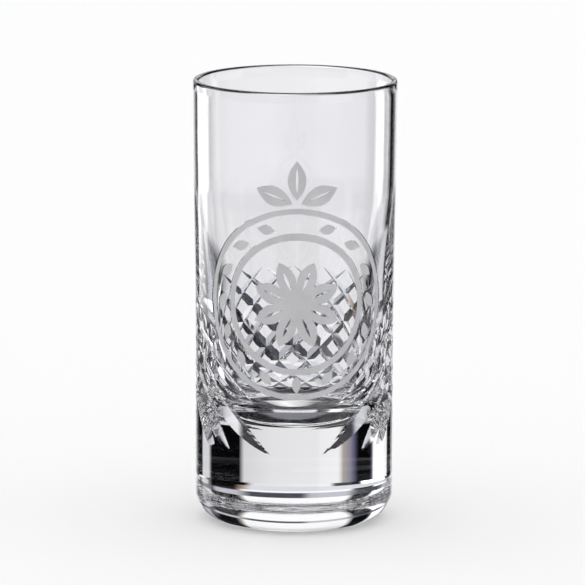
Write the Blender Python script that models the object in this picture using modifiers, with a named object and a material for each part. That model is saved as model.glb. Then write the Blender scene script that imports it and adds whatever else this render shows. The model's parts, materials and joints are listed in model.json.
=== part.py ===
# Tall cut-crystal shot glass: a turned body with a thick base, wheel-cut
# diamonds and curved leaf cuts, and a sand-carved medallion at the front.
# Metres, +Z up, standing on z = 0 with its axis on Z; the medallion faces -Y.
# Angles round the glass run from the front (-Y) towards +X.

import math

import bmesh
import bpy

# ---- driving dimensions: the turned body ----
HEIGHT = 0.0874
RIM_RADIUS = 0.0200
BASE_RADIUS = 0.0194
FLARE_START = 0.032        # the outside is straight below this height
BASE_CORNER = 0.0055       # radius between the side and the resting face
LIP_RADIUS = 0.00060
RIM_WALL = 0.00125
LOW_WALL = 0.0040
WALL_THIN_ABOVE = 0.066    # the wall has its rim thickness from here up
WALL_THICK_BELOW = 0.032   # and its full thickness from here down
BOWL_FLOOR = 0.0200
BOWL_CORNER = 0.0095
SEGMENTS = 48
ARC_STEPS = 6
WALL_STEPS = 6
WELD = 0.000001

# ---- driving dimensions: the wheel cuts ----
WHEEL_REACH = 0.0030                  # height of the wheel's V, well past the surface
END_LIFT = 0.00006                    # how far clear of the glass a cut starts and ends
DIAMOND_HALF_ANGLE = math.radians(57) # half of the V that the wheel leaves
DIAMOND_COUNT = 18                    # grooves each way round a full turn
DIAMOND_SLOPE = 0.73                  # rise over run along the surface
DIAMOND_BOTTOM = 0.0160
DIAMOND_TOP = 0.0448
DEPTH_AT_BOTTOM = 0.00088
DEPTH_AT_TOP = 0.00048
FALLING_SHARE = 0.93                  # the two ways differ, so no two groove bottoms meet
DIAMOND_TAPER = 4.0                   # higher ends a cut more bluntly
DIAMOND_STEPS = 8                     # straight runs in a full-length groove
DIAMOND_SAMPLES = 64                  # places tried along it
PANEL_HALF_ANGLE = math.radians(80)   # the front is left clear this far round
CURVED_HALF_ANGLE = math.radians(62)
CURVED_DEPTH = 0.00098
CURVED_TAPER = 2.4
CURVED_STEPS = 6
# Curved cuts left of the medallion, mirrored to its right. Each is a cubic
# through four guide points: (distance round the front, height) in metres.
CURVED_CUTS = (
    ((-0.0300, 0.0435), (-0.0215, 0.0420), (-0.0140, 0.0350), (-0.0073, 0.0291)),
    ((-0.0285, 0.0395), (-0.0205, 0.0345), (-0.0140, 0.0290), (-0.0085, 0.0262)),
    ((-0.0290, 0.0370), (-0.0200, 0.0290), (-0.0150, 0.0238), (-0.0048, 0.0159)),
    ((-0.0290, 0.0310), (-0.0225, 0.0248), (-0.0180, 0.0213), (-0.0139, 0.0163)),
    ((-0.0290, 0.0270), (-0.0250, 0.0236), (-0.0210, 0.0200), (-0.0183, 0.0168)),
)

# ---- driving dimensions: the sand-carved medallion ----
MEDALLION_HEIGHT = 0.0460     # height of its centre
OUTER_RING_RADIUS = 0.0188
OUTER_RING_WIDTH = 0.0010
INNER_RING_RADIUS = 0.0139
INNER_RING_WIDTH = 0.00115
CARVING_DEPTH = 0.00035
CARVING_THICKNESS = 0.00020   # thickness of a frosted area
CARVING_GAP = 0.00010         # clear space between a frosted area and the glass
STAMP_REACH = 0.0070          # half the depth that an outline is pushed through
BORDER_LEAVES = 16            # evenly spaced; the top place is left to the sprig
BORDER_LEAF_LENGTH = 0.0034
BORDER_LEAF_WIDTH = 0.0017
BORDER_LEAF_LEAN = math.radians(62)   # each half's leaves lean its own way
PETALS = 8
PETAL_TIP_RADIUS = 0.0088
PETAL_NOTCH_RADIUS = 0.0042
PETAL_FULLNESS = 0.62         # 1 gives straight-sided points, less gives fuller petals
VEIN_WIDTH = 0.00055          # uncut veins left standing in petals and sprig leaves
PETAL_VEIN_FOOT = 0.0029
PETAL_VEIN_LENGTH = 0.0042
SPRIG_FOOT = 0.0655           # height that the three leaves spring from
SPRIG_SPREAD = 0.0010         # how far out of that point each one starts
SPRIG_LEAF_LENGTH = 0.0076
SPRIG_LEAF_WIDTH = 0.0036
SPRIG_VEIN_LENGTH = 0.0050
SPRIG_LEAF_ANGLES = (-68, 0, 68)      # degrees from upright


def smooth_step(t):
    t = min(max(t, 0.0), 1.0)
    return t * t * (3 - 2 * t)


def outer_radius(z):
    rise = smooth_step((z - FLARE_START) / (HEIGHT - FLARE_START))
    return BASE_RADIUS + (RIM_RADIUS - BASE_RADIUS) * rise


def wall_thickness(z):
    thin = smooth_step((z - WALL_THICK_BELOW) / (WALL_THIN_ABOVE - WALL_THICK_BELOW))
    return LOW_WALL + (RIM_WALL - LOW_WALL) * thin


def arc(centre, radius, start, end, steps):
    points = []
    for i in range(steps + 1):
        a = math.radians(start + (end - start) * i / steps)
        points.append((centre[0] + radius * math.cos(a), centre[1] + radius * math.sin(a)))
    return points


def new_collection(name):
    made = bpy.data.collections.new(name)
    bpy.context.scene.collection.children.link(made)
    return made


def new_material(name, colour, roughness, transmission):
    made = bpy.data.materials.new(name)
    made.use_nodes = True
    shader = made.node_tree.nodes["Principled BSDF"]
    shader.inputs["Base Color"].default_value = (*colour, 1.0)
    shader.inputs["Roughness"].default_value = roughness
    shader.inputs["Metallic"].default_value = 0.0
    shader.inputs["IOR"].default_value = 1.545
    shader.inputs["Transmission Weight"].default_value = transmission
    return made


def make_cutter(cutter):
    cutter.hide_render = True
    cutter.display_type = "WIRE"
    return cutter


def settle(source, name, collection):
    # The evaluated shape of an object as a plain welded mesh object, in its place.
    graph = bpy.context.evaluated_depsgraph_get()
    mesh = bpy.data.meshes.new_from_object(source.evaluated_get(graph))
    work = bmesh.new()
    work.from_mesh(mesh)
    bmesh.ops.remove_doubles(work, verts=work.verts, dist=WELD)
    work.to_mesh(mesh)
    work.free()
    made = bpy.data.objects.new(name, mesh)
    made.matrix_world = source.matrix_world
    collection.objects.link(made)
    bpy.data.objects.remove(source)
    return made


def turned(name, profile, collection, closed=False):
    mesh = bpy.data.meshes.new(name)
    count = len(profile)
    edges = [(i, i + 1) for i in range(count - 1)]
    if closed:
        edges.append((count - 1, 0))
    mesh.from_pydata([(x, 0.0, z) for x, z in profile], edges, [])
    made = bpy.data.objects.new(name, mesh)
    collection.objects.link(made)
    screw = made.modifiers.new("Turn", "SCREW")
    screw.steps = SEGMENTS
    screw.render_steps = SEGMENTS
    screw.use_merge_vertices = True
    screw.merge_threshold = 0.00001
    screw.use_smooth_shade = True
    return made


def poly_curve(name, points, collection, closed, dimensions):
    data = bpy.data.curves.new(name, "CURVE")
    data.dimensions = dimensions
    spline = data.splines.new("POLY")
    spline.points.add(len(points) - 1)
    for knot, (x, y, z) in zip(spline.points, points):
        knot.co = (x, y, z, 1.0)
    spline.use_cyclic_u = closed
    made = bpy.data.objects.new(name, data)
    collection.objects.link(made)
    return made


def body_profile():
    inner = arc((outer_radius(BOWL_FLOOR) - LOW_WALL - BOWL_CORNER, BOWL_FLOOR + BOWL_CORNER),
                BOWL_CORNER, -90, 0, ARC_STEPS)
    low = BOWL_FLOOR + BOWL_CORNER
    high = HEIGHT - LIP_RADIUS
    heights = [low + (high - low) * i / WALL_STEPS for i in range(1, WALL_STEPS)]
    inner += [(outer_radius(z) - wall_thickness(z), z) for z in heights]
    lip_in = arc((RIM_RADIUS - RIM_WALL + LIP_RADIUS, high), LIP_RADIUS, 180, 90, 2)
    lip_out = arc((RIM_RADIUS - LIP_RADIUS, high), LIP_RADIUS, 90, 0, 2)
    outer = [(outer_radius(z), z) for z in reversed(heights)]
    corner = arc((BASE_RADIUS - BASE_CORNER, BASE_CORNER), BASE_CORNER, 0, -90, ARC_STEPS)
    return [(0.0, BOWL_FLOOR)] + inner + lip_in + lip_out + outer + corner + [(0.0, 0.0)]


def wheel_edge(name, half_angle, collection):
    spread = WHEEL_REACH * math.tan(half_angle)
    outline = [(0.0, 0.0, 0.0), (WHEEL_REACH, spread, 0.0), (WHEEL_REACH, -spread, 0.0)]
    return make_cutter(poly_curve(name, outline, collection, True, "2D"))


def groove(name, route, wheel, collection):
    # The V that a wheel leaves along a route of (angle, height, depth) places,
    # taken towards growing angles, which turns the V's point inwards.
    points = []
    for angle, z, depth in sorted(route):
        radius = outer_radius(z) - depth
        points.append((radius * math.sin(angle), -radius * math.cos(angle), z))
    sweep = poly_curve(name, points, collection, False, "3D")
    sweep.data.twist_mode = "Z_UP"
    sweep.data.bevel_mode = "OBJECT"
    sweep.data.bevel_object = wheel
    sweep.data.use_fill_caps = True
    return make_cutter(settle(sweep, name, collection))


def leaf_ended(places, depth_at, taper):
    # The wheel comes out of the glass at both ends, which points a cut like a leaf.
    route = []
    for i, (angle, z) in enumerate(places):
        along = abs(2 * i / (len(places) - 1) - 1)
        route.append((angle, z, depth_at(z) * (1 - along ** taper) - END_LIFT * along ** 8))
    return route


def diamond_places(start, direction):
    # The stretches of one helical groove that lie outside the clear front panel.
    turn_per_rise = direction / (DIAMOND_SLOPE * BASE_RADIUS)
    rise = DIAMOND_TOP - DIAMOND_BOTTOM
    stretches = [[]]
    for i in range(DIAMOND_SAMPLES + 1):
        z = DIAMOND_BOTTOM + rise * i / DIAMOND_SAMPLES
        angle = start + turn_per_rise * (z - DIAMOND_BOTTOM)
        if abs(math.remainder(angle, 2 * math.pi)) > PANEL_HALF_ANGLE:
            stretches[-1].append((angle, z))
        elif stretches[-1]:
            stretches.append([])
    return [thinned(kept) for kept in stretches if len(kept) > DIAMOND_SAMPLES / 5]


def thinned(places):
    count = max(2, round(DIAMOND_STEPS * len(places) / DIAMOND_SAMPLES))
    return [places[round(i * (len(places) - 1) / count)] for i in range(count + 1)]


def diamond_grooves(guides, collection):
    wheel = wheel_edge("diamond_wheel", DIAMOND_HALF_ANGLE, guides)
    pitch = 2 * math.pi / DIAMOND_COUNT
    rise = DIAMOND_TOP - DIAMOND_BOTTOM
    full_turn = rise / (DIAMOND_SLOPE * BASE_RADIUS)
    for direction, side, share in ((1, "rising", 1.0), (-1, "falling", FALLING_SHARE)):
        def depth_at(z):
            high = (z - DIAMOND_BOTTOM) / rise
            return share * (DEPTH_AT_BOTTOM + (DEPTH_AT_TOP - DEPTH_AT_BOTTOM) * high)
        for i in range(DIAMOND_COUNT):
            # Both ways meet on the middle line of the back at the top.
            start = math.pi + i * pitch - direction * full_turn
            for part_number, places in enumerate(diamond_places(start, direction), 1):
                name = f"diamond_{side}_{i:02d}_{part_number}"
                groove(name, leaf_ended(places, depth_at, DIAMOND_TAPER), wheel, collection)


def cubic(guides, t):
    weights = ((1 - t) ** 3, 3 * t * (1 - t) ** 2, 3 * t * t * (1 - t), t ** 3)
    return tuple(sum(w * g[k] for w, g in zip(weights, guides)) for k in (0, 1))


def curved_grooves(guides, collection):
    wheel = wheel_edge("curved_wheel", CURVED_HALF_ANGLE, guides)
    for number, cut_guides in enumerate(CURVED_CUTS, 1):
        places = [cubic(cut_guides, i / CURVED_STEPS) for i in range(CURVED_STEPS + 1)]
        for side, name in ((1, "left"), (-1, "right")):
            around = [(side * s / BASE_RADIUS, z) for s, z in places]
            route = leaf_ended(around, lambda z: CURVED_DEPTH, CURVED_TAPER)
            groove(f"curved_{name}_{number}", route, wheel, collection)


def on_front(s, z):
    # A place on the unrolled front surface, as seen straight on.
    return (outer_radius(z) * math.sin(s / outer_radius(z)), z)


def circle_outline(radius, steps=40):
    points = []
    for i in range(steps):
        a = 2 * math.pi * i / steps
        points.append((radius * math.sin(a), MEDALLION_HEIGHT + radius * math.cos(a)))
    return points


def leaf_outline(foot, angle, length, width, grow, steps=5):
    # A pointed leaf: two equal arcs from its foot to its tip. grow widens it all round.
    length = length + 4 * grow
    half = width / 2 + grow
    along = (math.sin(angle), math.cos(angle))
    foot = (foot[0] - 2 * grow * along[0], foot[1] - 2 * grow * along[1])
    points = []
    for side in (1, -1):
        for i in range(steps):
            t = i / steps if side == 1 else 1 - i / steps
            out = side * half * 4 * t * (1 - t)
            points.append((foot[0] + along[0] * length * t + along[1] * out,
                           foot[1] + along[1] * length * t - along[0] * out))
    return points


def rosette_outlines(grow, steps=3):
    points = []
    for i in range(PETALS * 2 * steps):
        turn = i / (2 * steps)
        swing = 1 - abs(2 * (turn % 1.0) - 1)
        radius = PETAL_NOTCH_RADIUS + (PETAL_TIP_RADIUS - PETAL_NOTCH_RADIUS) * swing ** PETAL_FULLNESS
        radius += grow * (2 - swing)
        a = 2 * math.pi * turn / PETALS
        points.append((radius * math.sin(a), MEDALLION_HEIGHT + radius * math.cos(a)))
    outlines = [points]
    for i in range(PETALS):
        a = 2 * math.pi * (i + 0.5) / PETALS
        foot = (PETAL_VEIN_FOOT * math.sin(a), MEDALLION_HEIGHT + PETAL_VEIN_FOOT * math.cos(a))
        outlines.append(leaf_outline(foot, a, PETAL_VEIN_LENGTH, VEIN_WIDTH, -grow, 2))
    return outlines


def ring_outlines(radius, width):
    return lambda grow: [circle_outline(radius + grow), circle_outline(radius - width - grow)]


def border_leaf_outlines(place):
    angle = 2 * math.pi * place / BORDER_LEAVES
    middle = (OUTER_RING_RADIUS - OUTER_RING_WIDTH + INNER_RING_RADIUS) / 2
    side = 0 if 2 * place == BORDER_LEAVES else 1 if 2 * place < BORDER_LEAVES else -1
    lean = angle + side * BORDER_LEAF_LEAN
    foot = (middle * math.sin(angle) - BORDER_LEAF_LENGTH / 2 * math.sin(lean),
            MEDALLION_HEIGHT + middle * math.cos(angle) - BORDER_LEAF_LENGTH / 2 * math.cos(lean))
    return lambda grow: [leaf_outline(foot, lean, BORDER_LEAF_LENGTH, BORDER_LEAF_WIDTH, grow)]


def sprig_leaf_outlines(degrees):
    angle = math.radians(degrees)

    def along(distance):
        return (distance * math.sin(angle), SPRIG_FOOT + distance * math.cos(angle))

    vein_start = SPRIG_SPREAD + (SPRIG_LEAF_LENGTH - SPRIG_VEIN_LENGTH) / 2
    return lambda grow: [leaf_outline(along(SPRIG_SPREAD), angle, SPRIG_LEAF_LENGTH, SPRIG_LEAF_WIDTH, grow),
                         leaf_outline(along(vein_start), angle, SPRIG_VEIN_LENGTH, VEIN_WIDTH, -grow, 2)]


def medallion_parts():
    parts = {
        "carved_outer_ring": ring_outlines(OUTER_RING_RADIUS, OUTER_RING_WIDTH),
        "carved_inner_ring": ring_outlines(INNER_RING_RADIUS, INNER_RING_WIDTH),
        "carved_rosette": rosette_outlines,
    }
    for place in range(1, BORDER_LEAVES):
        parts[f"carved_border_leaf_{place:02d}"] = border_leaf_outlines(place)
    for number, degrees in enumerate(SPRIG_LEAF_ANGLES, 1):
        parts[f"carved_sprig_leaf_{number}"] = sprig_leaf_outlines(degrees)
    return parts


def stamp(name, outlines, collection):
    # The outlines, filled and pushed through the front of the glass along Y.
    data = bpy.data.curves.new(name, "CURVE")
    data.dimensions = "2D"
    data.fill_mode = "BOTH"
    data.extrude = STAMP_REACH
    for outline in outlines:
        spline = data.splines.new("POLY")
        spline.points.add(len(outline) - 1)
        for knot, (s, z) in zip(spline.points, outline):
            knot.co = (*on_front(s, z), 0.0, 1.0)
        spline.use_cyclic_u = True
    flat = bpy.data.objects.new(name, data)
    flat.location = (0.0, STAMP_REACH - RIM_RADIUS - CARVING_DEPTH, 0.0)
    flat.rotation_euler = (math.radians(90), 0.0, 0.0)
    collection.objects.link(flat)
    bpy.context.view_layer.update()
    return settle(flat, name, collection)


def front_layer(name, outlines, inner_depth, outer_depth, collection):
    # The stamped outlines, kept only between two depths under the surface.
    layer = stamp(name, outlines, collection)
    low = MEDALLION_HEIGHT - OUTER_RING_RADIUS - 0.002
    high = SPRIG_FOOT + SPRIG_LEAF_LENGTH + 0.003
    heights = [low + (high - low) * i / WALL_STEPS for i in range(WALL_STEPS + 1)]
    profile = [(outer_radius(z) - inner_depth, z) for z in heights]
    profile += [(outer_radius(z) - outer_depth, z) for z in reversed(heights)]
    tube = turned(f"{name}_tube", profile, collection, closed=True)
    keep = layer.modifiers.new("Follow the surface", "BOOLEAN")
    keep.operation = "INTERSECT"
    keep.object = tube
    bpy.context.view_layer.update()
    made = settle(layer, name, collection)
    bpy.data.objects.remove(tube)
    return made


def cut(target, cutters):
    trim = target.modifiers.new("Cut", "BOOLEAN")
    trim.operation = "DIFFERENCE"
    trim.operand_type = "COLLECTION"
    trim.collection = cutters


for old in list(bpy.data.objects):
    bpy.data.objects.remove(old)

parts = new_collection("shot_glass")
cutters = new_collection("cutters")

crystal = new_material("lead_crystal", (0.97, 0.975, 0.98), 0.0, 1.0)
frosted = new_material("sand_carved_frost", (0.78, 0.78, 0.79), 0.6, 0.35)

guides = new_collection("guides")
diamond_grooves(guides, cutters)
curved_grooves(guides, cutters)

for part_name, outlines in medallion_parts().items():
    skin = front_layer(part_name, outlines(0.0), CARVING_DEPTH - CARVING_GAP,
                       CARVING_DEPTH - CARVING_GAP - CARVING_THICKNESS, parts)
    skin.data.materials.clear()
    skin.data.materials.append(frosted)
    make_cutter(front_layer(f"{part_name}_recess", outlines(CARVING_GAP), CARVING_DEPTH,
                            -CARVING_DEPTH, cutters))

glass_body = turned("glass_body", body_profile(), parts)
glass_body.data.materials.append(crystal)
cut(glass_body, cutters)
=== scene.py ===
import json
import math

import bmesh
import bpy
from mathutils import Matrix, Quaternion, Vector

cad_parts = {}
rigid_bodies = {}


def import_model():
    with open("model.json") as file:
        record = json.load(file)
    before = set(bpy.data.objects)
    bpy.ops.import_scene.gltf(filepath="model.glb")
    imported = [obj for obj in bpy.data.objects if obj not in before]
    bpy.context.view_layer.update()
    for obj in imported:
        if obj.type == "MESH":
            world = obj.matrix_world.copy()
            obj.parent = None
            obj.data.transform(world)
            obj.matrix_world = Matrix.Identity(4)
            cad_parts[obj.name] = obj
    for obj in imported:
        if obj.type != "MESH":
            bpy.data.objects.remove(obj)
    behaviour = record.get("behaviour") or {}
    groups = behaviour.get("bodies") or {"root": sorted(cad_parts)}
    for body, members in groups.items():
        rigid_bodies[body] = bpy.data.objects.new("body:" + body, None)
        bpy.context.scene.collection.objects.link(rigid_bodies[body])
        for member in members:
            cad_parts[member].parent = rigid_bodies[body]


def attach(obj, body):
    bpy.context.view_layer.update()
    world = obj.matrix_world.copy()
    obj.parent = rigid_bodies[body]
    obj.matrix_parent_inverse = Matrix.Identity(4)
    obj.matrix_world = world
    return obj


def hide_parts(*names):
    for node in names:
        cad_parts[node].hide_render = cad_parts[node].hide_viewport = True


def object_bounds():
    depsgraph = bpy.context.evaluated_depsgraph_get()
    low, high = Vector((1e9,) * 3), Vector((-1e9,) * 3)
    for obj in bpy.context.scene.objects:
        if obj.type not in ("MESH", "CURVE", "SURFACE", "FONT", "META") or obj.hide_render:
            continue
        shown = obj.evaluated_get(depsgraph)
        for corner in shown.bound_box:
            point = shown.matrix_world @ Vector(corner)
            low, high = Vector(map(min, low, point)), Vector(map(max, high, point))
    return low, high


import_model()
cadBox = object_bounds()
mm = 0.001

# The glass stands on z = 0 with its axis on Z and its medallion facing -Y.
# Angles round it run from the front towards +X. "Round" is a distance along
# the unrolled front surface, to the right of the medallion's middle.


def hexColour(text):
    channels = [int(text[i:i + 2], 16) / 255 for i in (1, 3, 5)]
    return tuple(c / 12.92 if c <= 0.04045 else ((c + 0.055) / 1.055) ** 2.4 for c in channels) + (1.0,)


def addNode(tree, kind, settings=None, inputs=None):
    # inputs maps a socket's name or number to a value, or to another node's output
    node = tree.nodes.new(kind)
    for name, value in (settings or {}).items():
        setattr(node, name, value)
    for socket, value in (inputs or {}).items():
        if isinstance(value, bpy.types.NodeSocket):
            tree.links.new(value, node.inputs[socket])
        else:
            node.inputs[socket].default_value = value
    return node


def smoothStep(t):
    t = min(max(t, 0.0), 1.0)
    return t * t * (3 - 2 * t)


def arc(centre, radius, start, end, steps):
    angles = [math.radians(start + (end - start) * i / steps) for i in range(steps + 1)]
    return [(centre[0] + radius * math.cos(a), centre[1] + radius * math.sin(a)) for a in angles]


def newCollection(name):
    made = bpy.data.collections.new(name)
    bpy.context.scene.collection.children.link(made)
    return made


meshing = {
    "weld": 0.0001 * mm,            # corners closer than this become one
    "seam": 0.001 * mm,             # where a turned shape meets itself
}


def settle(source, name, collection):
    # the evaluated shape of an object as a welded mesh object of its own
    bpy.context.view_layer.update()
    graph = bpy.context.evaluated_depsgraph_get()
    mesh = bpy.data.meshes.new_from_object(source.evaluated_get(graph))
    work = bmesh.new()
    work.from_mesh(mesh)
    bmesh.ops.remove_doubles(work, verts=work.verts, dist=meshing["weld"])
    work.to_mesh(mesh)
    work.free()
    made = bpy.data.objects.new(name, mesh)
    made.matrix_world = source.matrix_world
    collection.objects.link(made)
    bpy.data.objects.remove(source)
    return made


def turned(name, profile, segments, collection, closed=False):
    mesh = bpy.data.meshes.new(name)
    edges = [(i, i + 1) for i in range(len(profile) - 1)]
    if closed:
        edges.append((len(profile) - 1, 0))
    mesh.from_pydata([(x, 0.0, z) for x, z in profile], edges, [])
    made = bpy.data.objects.new(name, mesh)
    collection.objects.link(made)
    screw = made.modifiers.new("turn", "SCREW")
    screw.steps = segments
    screw.render_steps = segments
    screw.use_merge_vertices = True
    screw.merge_threshold = meshing["seam"]
    return settle(made, name, collection)


def polyCurve(name, points, collection, closed, dimensions):
    data = bpy.data.curves.new(name, "CURVE")
    data.dimensions = dimensions
    spline = data.splines.new("POLY")
    spline.points.add(len(points) - 1)
    for knot, (x, y, z) in zip(spline.points, points):
        knot.co = (x, y, z, 1.0)
    spline.use_cyclic_u = closed
    made = bpy.data.objects.new(name, data)
    collection.objects.link(made)
    return made


glassShape = {
    "height": cadBox[1].z,
    "rimRadius": (cadBox[1].x - cadBox[0].x) / 2,
    "baseRadius": 19.4 * mm,
    "flareStart": 32 * mm,          # the outside is straight below this height
    "baseCorner": 5.5 * mm,
    "lipRadius": 0.6 * mm,
    "rimWall": 1.25 * mm,
    "lowWall": 4.0 * mm,
    "wallThinAbove": 66 * mm,
    "wallThickBelow": 32 * mm,
    "bowlFloor": 20.0 * mm,
    "bowlCorner": 9.5 * mm,
    "segments": 288,
    "wallSteps": 30,
    "bowlCornerSteps": 16,
    "baseCornerSteps": 20,
    "lipSteps": 6,
}


def outerRadius(z):
    g = glassShape
    rise = smoothStep((z - g["flareStart"]) / (g["height"] - g["flareStart"]))
    return g["baseRadius"] + (g["rimRadius"] - g["baseRadius"]) * rise


def wallThickness(z):
    g = glassShape
    thin = smoothStep((z - g["wallThickBelow"]) / (g["wallThinAbove"] - g["wallThickBelow"]))
    return g["lowWall"] + (g["rimWall"] - g["lowWall"]) * thin


def glassProfile():
    g = glassShape
    floorEdge = g["baseRadius"] - g["lowWall"] - g["bowlCorner"]
    low = g["bowlFloor"] + g["bowlCorner"]
    high = g["height"] - g["lipRadius"]
    heights = [low + (high - low) * i / g["wallSteps"] for i in range(1, g["wallSteps"])]
    profile = [(0.0, g["bowlFloor"]), (floorEdge / 2, g["bowlFloor"])]
    profile += arc((floorEdge, low), g["bowlCorner"], -90, 0, g["bowlCornerSteps"])
    profile += [(outerRadius(z) - wallThickness(z), z) for z in heights]
    innerLip = g["rimRadius"] - g["rimWall"] + g["lipRadius"]
    profile += arc((innerLip, high), g["lipRadius"], 180, 90, g["lipSteps"])
    profile += arc((g["rimRadius"] - g["lipRadius"], high), g["lipRadius"], 90, 0, g["lipSteps"])
    profile += [(outerRadius(z), z) for z in reversed(heights)]
    flatFoot = g["baseRadius"] - g["baseCorner"]
    profile += arc((flatFoot, g["baseCorner"]), g["baseCorner"], 0, -90, g["baseCornerSteps"])
    profile += [(flatFoot / 2, 0.0), (0.0, 0.0)]
    return profile


wheelCuts = {
    "reach": 3 * mm,                # how far the V stands out of the glass while cutting
    "endLift": 0.03 * mm,           # both ends rise this far out of the glass
    "endSharpness": 8,
    "diamondHalfAngle": math.radians(57),   # half of the V that the wheel leaves
    "diamondCount": 18,             # grooves each way round a full turn
    "diamondSlope": 0.73,
    "diamondBottom": 16.0 * mm,
    "diamondTop": 44.8 * mm,
    "deepAtBottom": 0.88 * mm,
    "deepAtTop": 0.48 * mm,
    "fallingShare": 0.93,           # depth of the falling grooves against the rising ones
    "diamondTaper": 4.0,
    "diamondSteps": 22,             # straight runs in a full-length groove
    "spareSteps": 3,                # added to each stretch of one
    "samples": 300,                 # places tried along a groove to find the clear panel
    "shortestShare": 0.2,           # shorter stretches of a groove are left uncut
    "panelHalfAngle": math.radians(80),     # the clear front, either side of its middle
    "curvedHalfAngle": math.radians(62),
    "curvedDepth": 0.98 * mm,
    "curvedTaper": 2.4,
    "curvedSteps": 32,
}

# Curved cuts left of the medallion, mirrored to its right: four guide points
# of a cubic each, as (round, height) in mm.
curvedCuts = (
    ((-30.0, 43.5), (-21.5, 42.0), (-14.0, 35.0), (-7.3, 29.1)),
    ((-28.5, 39.5), (-20.5, 34.5), (-14.0, 29.0), (-8.5, 26.2)),
    ((-29.0, 37.0), (-20.0, 29.0), (-15.0, 23.8), (-4.8, 15.9)),
    ((-29.0, 31.0), (-22.5, 24.8), (-18.0, 21.3), (-13.9, 16.3)),
    ((-29.0, 27.0), (-25.0, 23.6), (-21.0, 20.0), (-18.3, 16.8)),
)


def groove(name, route, wheel, collection):
    # The V that a wheel leaves along (angle, height, depth) places. Growing
    # angles keep the V's point turned inwards.
    points = []
    for angle, z, depth in sorted(route):
        radius = outerRadius(z) - depth
        points.append((radius * math.sin(angle), -radius * math.cos(angle), z))
    sweep = polyCurve(name, points, collection, False, "3D")
    sweep.data.twist_mode = "Z_UP"
    sweep.data.bevel_mode = "OBJECT"
    sweep.data.bevel_object = wheel
    sweep.data.use_fill_caps = True
    return settle(sweep, name, collection)


def leafEnds(places, depthAt, taper):
    # a cut that comes out of the glass at both ends, which points them like leaves
    w = wheelCuts
    route = []
    for i, (angle, z) in enumerate(places):
        along = abs(2 * i / (len(places) - 1) - 1)
        depth = depthAt(z) * (1 - along ** taper) - w["endLift"] * along ** w["endSharpness"]
        route.append((angle, z, depth))
    return route


def diamondPlaces(start, direction):
    # the stretches of one helical groove outside the clear front panel
    w = wheelCuts
    samples = w["samples"]
    turnPerRise = direction / (w["diamondSlope"] * glassShape["baseRadius"])
    rise = w["diamondTop"] - w["diamondBottom"]
    stretches = [[]]
    for i in range(samples + 1):
        z = w["diamondBottom"] + rise * i / samples
        angle = start + turnPerRise * (z - w["diamondBottom"])
        if abs(math.remainder(angle, 2 * math.pi)) > w["panelHalfAngle"]:
            stretches[-1].append((angle, z))
        elif stretches[-1]:
            stretches.append([])
    routes = []
    for kept in stretches:
        if len(kept) > samples * w["shortestShare"]:
            steps = round(w["diamondSteps"] * len(kept) / samples) + w["spareSteps"]
            routes.append([kept[round(i * (len(kept) - 1) / steps)] for i in range(steps + 1)])
    return routes


def cubic(guides, t):
    weights = ((1 - t) ** 3, 3 * t * (1 - t) ** 2, 3 * t * t * (1 - t), t ** 3)
    return tuple(sum(w * g[k] for w, g in zip(weights, guides)) * mm for k in (0, 1))


def wheelEdge(name, halfAngle, collection):
    reach = wheelCuts["reach"]
    half = reach * math.tan(halfAngle)
    return polyCurve(name, [(0, 0, 0), (reach, half, 0), (reach, -half, 0)], collection, True, "2D")


def wheelCutters(collection, guides):
    w = wheelCuts
    pitch = 2 * math.pi / w["diamondCount"]
    rise = w["diamondTop"] - w["diamondBottom"]
    reachRound = rise / (w["diamondSlope"] * glassShape["baseRadius"])
    wheel = wheelEdge("diamondWheel", w["diamondHalfAngle"], guides)
    for direction, share in ((1, 1.0), (-1, w["fallingShare"])):
        def depthAt(z):
            high = (z - w["diamondBottom"]) / rise
            return share * (w["deepAtBottom"] + (w["deepAtTop"] - w["deepAtBottom"]) * high)
        for i in range(w["diamondCount"]):
            # both directions meet in points on the middle line of the back at the top
            start = math.pi + i * pitch - direction * reachRound
            for places in diamondPlaces(start, direction):
                groove("diamondCut", leafEnds(places, depthAt, w["diamondTaper"]), wheel, collection)
    wheel = wheelEdge("curvedWheel", w["curvedHalfAngle"], guides)
    for cut in curvedCuts:
        for side in (1, -1):
            places = []
            for i in range(w["curvedSteps"] + 1):
                s, z = cubic(cut, i / w["curvedSteps"])
                places.append((side * s / glassShape["baseRadius"], z))
            route = leafEnds(places, lambda z: w["curvedDepth"], w["curvedTaper"])
            groove("curvedCut", route, wheel, collection)


medallion = {
    "height": 46 * mm,              # of its middle over the table
    "outerRing": 18.8 * mm,
    "outerWidth": 1.0 * mm,
    "innerRing": 13.9 * mm,
    "innerWidth": 1.15 * mm,
    "depth": 0.35 * mm,             # of the recess under each frosted area
    "thickness": 0.2 * mm,          # of the frosted layer in it
    "gap": 0.1 * mm,                # between the layer and the clear glass all round
    "stampReach": 7 * mm,
    "roomBelow": 2 * mm,            # how far the layers' tube passes the carved shapes
    "roomAbove": 3 * mm,
    "tubeSteps": 20,
    "circleSteps": 160,
    "leafSteps": 14,
    "veinSteps": 6,
    "petalSteps": 8,
    "borderLeaves": 16,
    "leafLength": 3.4 * mm,
    "leafWidth": 1.7 * mm,
    "leafLean": math.radians(62),
    "petals": 8,
    "petalTip": 8.8 * mm,
    "petalNotch": 4.2 * mm,
    "petalFullness": 0.62,
    "petalVein": 4.2 * mm,          # uncut veins left standing in petals and leaves
    "veinFoot": 2.9 * mm,
    "veinWidth": 0.55 * mm,
    "sprigFoot": 65.5 * mm,
    "sprigSpread": 1.0 * mm,
    "sprigLength": 7.6 * mm,
    "sprigWidth": 3.6 * mm,
    "sprigVein": 5.0 * mm,
    "sprigAngles": (-68, 0, 68),
}


def onFront(s, z):
    return (outerRadius(z) * math.sin(s / outerRadius(z)), z)


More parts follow.
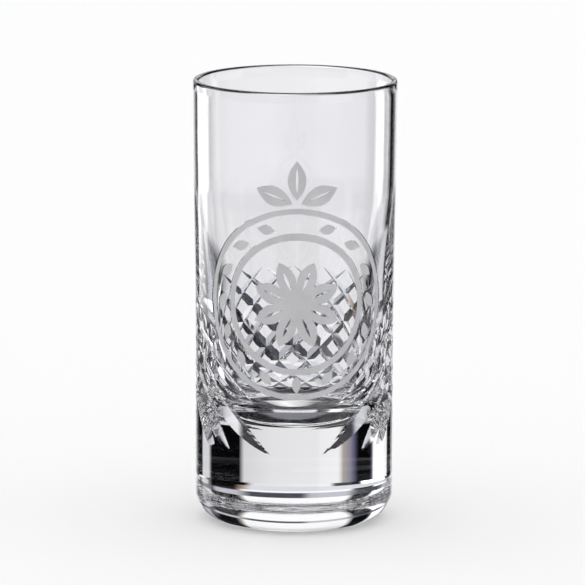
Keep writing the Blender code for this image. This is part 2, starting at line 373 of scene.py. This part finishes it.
def circleOutline(radius):
    steps = medallion["circleSteps"]
    turns = [2 * math.pi * i / steps for i in range(steps)]
    return [(radius * math.sin(a), medallion["height"] + radius * math.cos(a)) for a in turns]


def leafOutline(foot, angle, length, width, grow, steps):
    # a pointed leaf of two equal arcs; grow widens it all round
    length = length + 4 * grow
    half = width / 2 + grow
    along = (math.sin(angle), math.cos(angle))
    foot = (foot[0] - 2 * grow * along[0], foot[1] - 2 * grow * along[1])
    points = []
    for side in (1, -1):
        for i in range(steps):
            t = i / steps if side == 1 else 1 - i / steps
            out = side * half * 4 * t * (1 - t)
            points.append((foot[0] + along[0] * length * t + along[1] * out,
                           foot[1] + along[1] * length * t - along[0] * out))
    return points


def rosetteOutlines(grow):
    m = medallion
    steps = m["petalSteps"]
    points = []
    for i in range(m["petals"] * 2 * steps):
        turn = i / (2 * steps)
        swing = 1 - abs(2 * (turn % 1.0) - 1)
        radius = m["petalNotch"] + (m["petalTip"] - m["petalNotch"]) * swing ** m["petalFullness"]
        radius += grow * (2 - swing)
        a = 2 * math.pi * turn / m["petals"]
        points.append((radius * math.sin(a), m["height"] + radius * math.cos(a)))
    outlines = [points]
    for i in range(m["petals"]):
        a = 2 * math.pi * (i + 0.5) / m["petals"]
        foot = (m["veinFoot"] * math.sin(a), m["height"] + m["veinFoot"] * math.cos(a))
        outlines.append(leafOutline(foot, a, m["petalVein"], m["veinWidth"], -grow, m["veinSteps"]))
    return outlines


def ringOutlines(radius, width):
    return lambda grow: [circleOutline(radius + grow), circleOutline(radius - width - grow)]


def borderLeafOutlines(place):
    m = medallion
    angle = 2 * math.pi * place / m["borderLeaves"]
    middle = (m["outerRing"] - m["outerWidth"] + m["innerRing"]) / 2
    side = 0 if 2 * place == m["borderLeaves"] else 1 if 2 * place < m["borderLeaves"] else -1
    lean = angle + side * m["leafLean"]
    foot = (middle * math.sin(angle) - m["leafLength"] / 2 * math.sin(lean),
            m["height"] + middle * math.cos(angle) - m["leafLength"] / 2 * math.cos(lean))
    return lambda grow: [
        leafOutline(foot, lean, m["leafLength"], m["leafWidth"], grow, m["leafSteps"])]


def sprigLeafOutlines(degrees):
    m = medallion
    angle = math.radians(degrees)
    def along(distance):
        return (distance * math.sin(angle), m["sprigFoot"] + distance * math.cos(angle))
    veinStart = m["sprigSpread"] + (m["sprigLength"] - m["sprigVein"]) / 2
    return lambda grow: [
        leafOutline(along(m["sprigSpread"]), angle, m["sprigLength"], m["sprigWidth"], grow, m["leafSteps"]),
        leafOutline(along(veinStart), angle, m["sprigVein"], m["veinWidth"], -grow, m["veinSteps"])]


def carvedShapes():
    m = medallion
    shapes = {
        "carved_outer_ring": ringOutlines(m["outerRing"], m["outerWidth"]),
        "carved_inner_ring": ringOutlines(m["innerRing"], m["innerWidth"]),
        "carved_rosette": rosetteOutlines,
    }
    for place in range(1, m["borderLeaves"]):
        shapes[f"carved_border_leaf_{place:02d}"] = borderLeafOutlines(place)
    for number, degrees in enumerate(m["sprigAngles"], 1):
        shapes[f"carved_sprig_leaf_{number}"] = sprigLeafOutlines(degrees)
    return shapes


def frontLayer(name, outlines, innerDepth, outerDepth, collection):
    # The outlines, filled and pushed through the front of the glass along Y,
    # then kept only between two depths under its surface.
    m = medallion
    data = bpy.data.curves.new(name, "CURVE")
    data.dimensions = "2D"
    data.fill_mode = "BOTH"
    data.extrude = m["stampReach"]
    for outline in outlines:
        spline = data.splines.new("POLY")
        spline.points.add(len(outline) - 1)
        for knot, (s, z) in zip(spline.points, outline):
            knot.co = (*onFront(s, z), 0.0, 1.0)
        spline.use_cyclic_u = True
    flat = bpy.data.objects.new(name, data)
    flat.location = (0.0, m["stampReach"] - glassShape["rimRadius"] - m["depth"], 0.0)
    flat.rotation_euler = (math.radians(90), 0.0, 0.0)
    collection.objects.link(flat)
    stamp = settle(flat, name, collection)

    low = m["height"] - m["outerRing"] - m["roomBelow"]
    high = m["sprigFoot"] + m["sprigLength"] + m["roomAbove"]
    heights = [low + (high - low) * i / m["tubeSteps"] for i in range(m["tubeSteps"] + 1)]
    profile = [(outerRadius(z) - innerDepth, z) for z in heights]
    profile += [(outerRadius(z) - outerDepth, z) for z in reversed(heights)]
    tube = turned(name + "Tube", profile, glassShape["segments"], collection, closed=True)
    keep = stamp.modifiers.new("followSurface", "BOOLEAN")
    keep.operation = "INTERSECT"
    keep.object = tube
    made = settle(stamp, name, collection)
    bpy.data.objects.remove(tube)
    return made


polish = {
    "crease": math.radians(24),     # cut facets meet in edges sharper than this
    "turnedWithin": math.radians(6),        # faces closer to the turned surface belong to it
    "hairline": 0.01 * mm,
}


def turnedNormal(x, y, z):
    # the exact outward normal of the turned outside, from the base corner up
    g = glassShape
    hair = polish["hairline"]
    radius = math.hypot(x, y)
    if z < g["baseCorner"]:
        across = max(radius - g["baseRadius"] + g["baseCorner"], hair)
        return Vector((x, y, (z - g["baseCorner"]) * radius / across)).normalized()
    slope = (outerRadius(z + hair) - outerRadius(z - hair)) / (2 * hair)
    return Vector((x, y, -slope * radius)).normalized()


def finishNormals(mesh):
    # Turned faces take the exact normal of the turned surface, so that nothing
    # near a cut bends the light by mistake, and cut faces keep their creases.
    mesh.shade_smooth()
    mesh.set_sharp_from_angle(angle=polish["crease"])
    highest = glassShape["height"] - glassShape["lipRadius"]
    flatFoot = glassShape["baseRadius"] - glassShape["baseCorner"]
    normals = [(0.0, 0.0, 0.0)] * len(mesh.loops)
    turnedFaces = 0
    for face in mesh.polygons:
        places = [mesh.vertices[v].co for v in face.vertices]
        middle = face.center
        if max(p.z for p in places) > highest or math.hypot(middle.x, middle.y) < flatFoot:
            continue
        if face.normal.angle(turnedNormal(*middle)) < polish["turnedWithin"]:
            turnedFaces += 1
            for loop, p in zip(face.loop_indices, places):
                normals[loop] = turnedNormal(*p)
    mesh.normals_split_custom_set(normals)
    print("turned faces:", turnedFaces)


crystalLook = {
    "colour": "#fdfdfe",
    "index": 1.545,
    "roughness": 0.0,
}


def leadCrystal():
    # Lead crystal, blown, wheel cut and acid polished: colourless and brilliant,
    # it bends light more than window glass and its cuts are as clear as its body.
    made = bpy.data.materials.new("leadCrystal")
    made.use_nodes = True
    tree = made.node_tree
    tree.nodes.clear()
    shader = addNode(tree, "ShaderNodeBsdfPrincipled", inputs={
        "Base Color": hexColour(crystalLook["colour"]), "Roughness": crystalLook["roughness"],
        "IOR": crystalLook["index"], "Transmission Weight": 1.0})
    addNode(tree, "ShaderNodeOutputMaterial", inputs={"Surface": shader.outputs["BSDF"]})
    return made


def cutGlass(shapes):
    scrap = newCollection("glassCutters")
    guides = newCollection("wheelEdges")
    wheelCutters(scrap, guides)
    m = medallion
    for name, outlines in shapes.items():
        frontLayer(name + "_recess", outlines(m["gap"]), m["depth"], -m["depth"], scrap)
    pieces = newCollection("cutCrystalShotGlass")
    blank = turned("glassBlank", glassProfile(), glassShape["segments"], pieces)
    trim = blank.modifiers.new("cut", "BOOLEAN")
    trim.operation = "DIFFERENCE"
    trim.operand_type = "COLLECTION"
    trim.collection = scrap
    trim.solver = "EXACT"
    made = settle(blank, "cutCrystalGlass", pieces)
    for cutter in list(scrap.objects) + list(guides.objects):
        bpy.data.objects.remove(cutter)
    made.data.materials.clear()
    made.data.materials.append(leadCrystal())
    finishNormals(made.data)
    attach(made, "root")
    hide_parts("glass_body")
    print("cut glass:", len(made.data.polygons), "faces")
    return pieces


frostLook = {
    "grit": 0.16 * mm,              # real grit pits are 0.05 mm; drawn coarser so that they show
    "gritShare": 0.6,
    "drift": 4 * mm,                # how far apart the blast was stronger and weaker
    "rampStart": 0.45,
    "darker": "#c8c8cb",
    "lighter": "#d8d8da",
    "pitDepth": 0.02 * mm,
    "pitStrength": 0.35,
    "index": 1.545,
    "roughness": 0.55,
    "through": 0.3,                 # share of the light that goes on into the glass
    "crease": math.radians(30),
}


def sandCarvedFrost():
    # Sand-carved crystal: fine pits scatter the light to an even pale grey.
    look = frostLook
    made = bpy.data.materials.new("sandCarvedFrost")
    made.use_nodes = True
    tree = made.node_tree
    tree.nodes.clear()
    place = addNode(tree, "ShaderNodeTexCoord").outputs["Object"]
    pits = addNode(tree, "ShaderNodeTexNoise", inputs={
        "Vector": place, "Scale": 1 / look["grit"], "Detail": 3.0, "Roughness": 0.6})
    drift = addNode(tree, "ShaderNodeTexNoise", inputs={
        "Vector": place, "Scale": 1 / look["drift"], "Detail": 2.0})
    mixed = addNode(tree, "ShaderNodeMath", {"operation": "MULTIPLY_ADD"}, {
        0: pits.outputs["Fac"], 1: look["gritShare"], 2: drift.outputs["Fac"]})
    tone = addNode(tree, "ShaderNodeValToRGB", inputs={"Fac": mixed.outputs[0]})
    tone.color_ramp.elements[0].position = look["rampStart"]
    tone.color_ramp.elements[0].color = hexColour(look["darker"])
    tone.color_ramp.elements[1].position = 1.0
    tone.color_ramp.elements[1].color = hexColour(look["lighter"])
    bump = addNode(tree, "ShaderNodeBump", inputs={
        "Strength": look["pitStrength"], "Distance": look["pitDepth"], "Height": pits.outputs["Fac"]})
    shader = addNode(tree, "ShaderNodeBsdfPrincipled", inputs={
        "Base Color": tone.outputs["Color"], "Roughness": look["roughness"], "IOR": look["index"],
        "Transmission Weight": look["through"], "Normal": bump.outputs["Normal"]})
    addNode(tree, "ShaderNodeOutputMaterial", inputs={"Surface": shader.outputs["BSDF"]})
    return made


def carvedAreas(shapes, collection):
    m = medallion
    frost = sandCarvedFrost()
    for name, outlines in shapes.items():
        inner = m["depth"] - m["gap"]
        outer = inner - m["thickness"]
        made = frontLayer(name.replace("carved", "frost", 1), outlines(0.0), inner, outer, collection)
        made.data.materials.clear()
        made.data.materials.append(frost)
        made.data.shade_smooth()
        made.data.set_sharp_from_angle(angle=frostLook["crease"])
        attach(made, "root")
        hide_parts(name)
    print("carved areas:", len(shapes))


studio = {
    "backdrop": "#ffffff",
    "backdropStrength": 1.14,
    "table": "#f6f6f6",
    "tableSize": 5.0,
    "tableRoughness": 0.9,
    "tableDrop": 0.02 * mm,         # keeps the table off the foot's own face
    "brightest": 4.0,               # of any card or soft box below, in backdrops
}

# Cards and soft boxes round the glass, row over row. Each row says from which
# to which degrees over the horizon it fades in, then its stops: degrees to the
# right of straight behind the glass, colour and brightness.
deepBlack = ("#050506", 1.0)
dimBlack = ("#1c1c20", 1.0)
paleGrey = ("#f2f2f4", 1.0)
lowPattern = ((-39, *deepBlack), (-19, *deepBlack), (-15, *paleGrey), (12, "#ccced8", 1.0),
              (16, "#1c1c26", 1.0), (38, *deepBlack), (45, "#ffffff", 1.2))
streaks = tuple((c + d, colour, 1.0) for c in range(-40, 41, 12)
                for d, colour in ((-1.5, "#050506"), (0, "#5a5a66"), (1.5, "#050506")))
farPanel = ((108, *deepBlack), (112, *paleGrey), (150, *paleGrey), (154, *deepBlack), (180, *dimBlack))
aboveStops = ((-180, "#3c3c40", 1.0), (-146, "#3c3c40", 1.0), (-140, *deepBlack), (-114, *deepBlack),
              (-110, "#f4f4f6", 1.0), (-70, "#f4f4f6", 1.0), (-66, *deepBlack), (-60, "#ffffff", 1.5),
              (-44, "#ffffff", 1.5), (-42, "#3c3c58", 1.0), (-40, *deepBlack), (-28, *deepBlack),
              (-24, "#ffffff", 1.08), (24, "#ffffff", 1.08), (27, "#8a8078", 1.0), (29, *deepBlack),
              (51, *deepBlack), (54, "#cfd0d3", 1.0), (64, "#cfd0d3", 1.0), (66, *deepBlack),
              (70, "#f4f4f6", 1.0), (110, "#f4f4f6", 1.0), (114, *deepBlack), (140, *deepBlack),
              (146, "#3c3c40", 1.0))
facetStops = tuple((c + d, colour if d < -4 or abs(c) <= 50 else "#0c0c0e", 1.0)
                   for c in range(-150, 151, 50)
                   for d, colour in ((-22, "#c4c4cc"), (-6, "#c4c4cc"), (-2, "#4c4c54"), (20, "#4c4c54")))
rows = (
    # the floor right under the glass, then further out, with thin streaks behind it
    (-90, -90, ((-180, "#808088", 1.0), (180, "#808088", 1.0))),
    (-72, -64, ((-180, "#74747e", 1.0), (-80, "#74747e", 1.0), (-70, *deepBlack), *streaks,
                (70, *deepBlack), (80, "#74747e", 1.0), (180, "#74747e", 1.0))),
    # low cards that the facets of the cuts turn to
    (-40, -36, tuple((c + d, colour, gain) for c in (-135, -45, 45, 135) for d, colour, gain in lowPattern)),
    # the far edge of the table
    (-22, -20, ((-180, *dimBlack), (-66, *deepBlack), (-64, "#ffffff", 1.2), (-46, "#ffffff", 1.2),
                (-43, *deepBlack), (-26, *deepBlack), (-22, "#f7f7f8", 1.0), (22, "#f0f0f2", 1.0),
                (26, *deepBlack), (50, *deepBlack), (53, "#cfd0d3", 1.0), (63, "#cfd0d3", 1.0),
                (65, *deepBlack), *farPanel)),
    # behind the base
    (-14.4, -13.3, ((-180, *dimBlack), (-66, *deepBlack), (-64, "#ffffff", 1.3),
                    (-44, "#ffffff", 1.3), (-42, "#3c3c58", 1.0), (-40, *deepBlack), (-30, *deepBlack),
                    (-27, "#6c6a86", 1.0), (-21, "#a8a09a", 1.0), (-19, "#f6f6f7", 1.0), (-8, "#f1f1f3", 1.0),
                    (10, "#ededef", 1.0), (24, "#dddcde", 1.0), (26.5, *deepBlack), (51, *deepBlack),
                    (53, "#cfd0d3", 1.0), (63, "#cfd0d3", 1.0), (65, *deepBlack), *farPanel)),
    # behind the bowl and its walls
    (-11.4, -10.4, ((-180, "#b4b4b8", 1.0), (-150, *paleGrey), (-82, *paleGrey), (-76, *deepBlack),
                    (-60, *deepBlack), (-57, "#ffffff", 4.0), (-34, "#ffffff", 4.0), (-32, "#3c3c58", 1.0),
                    (-30, *deepBlack), (-17, *deepBlack), (-14, "#f7f7f8", 1.0), (0, "#f4f4f6", 1.0),
                    (19, "#ececef", 1.0), (23, *deepBlack), (54, *deepBlack), (58, "#ffffff", 0.7),
                    (64, "#ffffff", 1.3), (70, "#ffffff", 1.3), (73, *deepBlack), (84, *deepBlack),
                    (92, "#86868a", 1.0), (180, "#b4b4b8", 1.0))),
    # behind the rim
    (-7.6, -7.0, ((-180, "#6c6c70", 1.0), (-146, "#6c6c70", 1.0), (-140, *deepBlack), (-114, *deepBlack),
                  (-110, "#f4f4f6", 1.0), (-70, "#f4f4f6", 1.0), (-66, "#8a8a98", 1.0), (-60, "#e3e5ec", 1.0),
                  (20, "#e3e5ec", 1.0), (24, "#b29a86", 1.0), (29, *deepBlack), (51, *deepBlack),
                  (54, "#cfd0d3", 1.0), (64, "#cfd0d3", 1.0), (66, *deepBlack), (70, "#f4f4f6", 1.0),
                  (110, "#f4f4f6", 1.0), (114, *deepBlack), (140, *deepBlack), (146, "#6c6c70", 1.0))),
    # above the horizon, seen over the rim and then again by way of the polished foot,
    # with a duller row between for the facets of the cuts
    (-2.4, -1.8, aboveStops),
    (-0.5, 0.5, facetStops),
    (7.5, 8.5, aboveStops),
    # the ceiling
    (22, 28, ((-180, "#8c8c92", 1.0), (-150, *paleGrey), (-120, *paleGrey), (-112, *deepBlack),
              (-70, *deepBlack), (-60, "#ffffff", 1.2), (-44, "#ffffff", 1.2), (-40, *deepBlack),
              (-28, *deepBlack), (-24, *paleGrey), (24, *paleGrey), (28, *deepBlack), (52, *deepBlack),
              (56, "#cfd0d3", 1.0), (64, "#cfd0d3", 1.0), (70, *deepBlack), (112, *deepBlack),
              (120, *paleGrey), (150, *paleGrey), (180, "#8c8c92", 1.0))),
)


def studioWorld():
    world = bpy.data.worlds.new("softStudio")
    bpy.context.scene.world = world
    world.use_nodes = True
    tree = world.node_tree
    tree.nodes.clear()
    direction = addNode(tree, "ShaderNodeTexCoord").outputs["Generated"]
    parts = addNode(tree, "ShaderNodeSeparateXYZ", inputs={"Vector": direction})
    turn = addNode(tree, "ShaderNodeMath", {"operation": "ARCTAN2"}, {
        0: parts.outputs["X"], 1: parts.outputs["Y"]})
    place = addNode(tree, "ShaderNodeMapRange", inputs={
        "Value": turn.outputs[0], "From Min": -math.pi, "From Max": math.pi})
    lift = addNode(tree, "ShaderNodeMath", {"operation": "ARCSINE"}, {0: parts.outputs["Z"]})
    seen = None
    for start, end, stopList in rows:
        ramp = addNode(tree, "ShaderNodeValToRGB", inputs={"Fac": place.outputs["Result"]})
        stops = ramp.color_ramp.elements
        while len(stops) > 1:
            stops.remove(stops[-1])
        for i, (degrees, colour, gain) in enumerate(stopList):
            stop = stops[0] if i == 0 else stops.new((degrees + 180) / 360)
            stop.position = (degrees + 180) / 360
            stop.color = [c * gain / studio["brightest"] for c in hexColour(colour)[:3]] + [1.0]
        if seen is None:
            seen = ramp.outputs["Color"]
            continue
        fade = addNode(tree, "ShaderNodeMapRange", inputs={
            "Value": lift.outputs[0], "From Min": math.radians(start), "From Max": math.radians(end)})
        mixed = addNode(tree, "ShaderNodeMix", {"data_type": "RGBA"}, {
            "Factor": fade.outputs["Result"], 6: seen, 7: ramp.outputs["Color"]})
        seen = mixed.outputs[2]
    cards = addNode(tree, "ShaderNodeBackground", inputs={"Color": seen, "Strength": studio["brightest"]})
    plain = addNode(tree, "ShaderNodeBackground", inputs={
        "Color": hexColour(studio["backdrop"]), "Strength": studio["backdropStrength"]})
    rays = addNode(tree, "ShaderNodeLightPath")
    plainRay = addNode(tree, "ShaderNodeMath", {"operation": "MAXIMUM", "use_clamp": True}, {
        0: rays.outputs["Is Camera Ray"], 1: rays.outputs["Diffuse Depth"]})
    light = addNode(tree, "ShaderNodeMixShader", inputs={
        0: plainRay.outputs[0], 1: cards.outputs[0], 2: plain.outputs[0]})
    addNode(tree, "ShaderNodeOutputWorld", inputs={"Surface": light.outputs[0]})
    print("studio:", len(rows), "rows of cards")


def studioTable():
    bpy.ops.mesh.primitive_plane_add(size=studio["tableSize"], location=(0, 0, -studio["tableDrop"]))
    table = bpy.context.active_object
    table.name = "studioTable"
    made = bpy.data.materials.new("whiteAcrylicTable")
    made.use_nodes = True
    shader = made.node_tree.nodes["Principled BSDF"]
    shader.inputs["Base Color"].default_value = hexColour(studio["table"])
    shader.inputs["Roughness"].default_value = studio["tableRoughness"]
    shader.inputs["Specular IOR Level"].default_value = 0.0
    table.data.materials.append(made)
    table.visible_glossy = False
    table.visible_transmission = False


cameraSet = {
    "distance": 1190 * mm,
    "sensor": 36,
    "nearest": 0.1,
    "farthest": 20,
    "pitch": 10.3,
    "azimuth": -1.2,
    "roll": 0.2,
    "across": 115 * mm,             # width of the view at the glass
    "aim": (-0.4 * mm, 0.0, 44.9 * mm),
}


def studioCamera():
    c = cameraSet
    data = bpy.data.cameras.new("studioCamera")
    data.sensor_width = c["sensor"]
    data.lens = data.sensor_width * c["distance"] / c["across"]
    data.clip_start, data.clip_end = c["nearest"], c["farthest"]
    cam = bpy.data.objects.new("studioCamera", data)
    bpy.context.scene.collection.objects.link(cam)
    a, e = math.radians(c["azimuth"]), math.radians(c["pitch"])
    back = Vector((math.sin(a) * math.cos(e), -math.cos(a) * math.cos(e), math.sin(e)))
    cam.location = Vector(c["aim"]) + back * c["distance"]
    cam.rotation_mode = "QUATERNION"
    roll = Quaternion((0.0, 0.0, 1.0), math.radians(c["roll"]))
    cam.rotation_quaternion = (-back).to_track_quat("-Z", "Y") @ roll
    bpy.context.scene.camera = cam
    print("camera:", round(data.lens), "mm lens")


shapes = carvedShapes()
pieces = cutGlass(shapes)
carvedAreas(shapes, pieces)
studioWorld()
studioTable()
studioCamera()

scene = bpy.context.scene
scene.view_settings.view_transform = "Standard"
scene.cycles.max_bounces = 32       # light crosses many faces before it leaves the cuts
scene.cycles.transmission_bounces = 32
scene.cycles.glossy_bounces = 16
